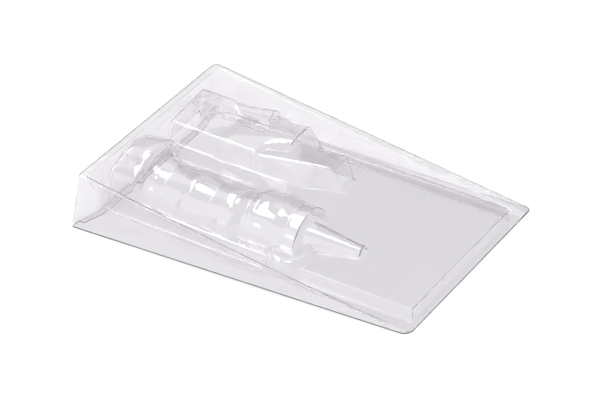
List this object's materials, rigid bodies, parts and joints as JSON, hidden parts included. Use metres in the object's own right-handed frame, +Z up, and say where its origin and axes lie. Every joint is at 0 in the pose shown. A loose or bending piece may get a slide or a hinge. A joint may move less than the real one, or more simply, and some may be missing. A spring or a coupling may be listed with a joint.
{
  "type": "clear formed insert tray",
  "caption": "Clear wedge-shaped formed plastic insert tray with a sloping raised panel and two tool-shaped bulges, open underneath.",
  "frame": {"origin": "middle of the base, on the surface the tray stands on", "axes": "+X runs from the tall end to the low end, -Y is the side with the nozzle-shaped bulge, +Z is up"},
  "size_m": [0.2276, 0.1604, 0.0466],
  "materials": {
    "clear_sheet": "clear, glossy"
  },
  "bodies": {
    "root": {"tray": "clear_sheet"}
  },
  "joints": []
}
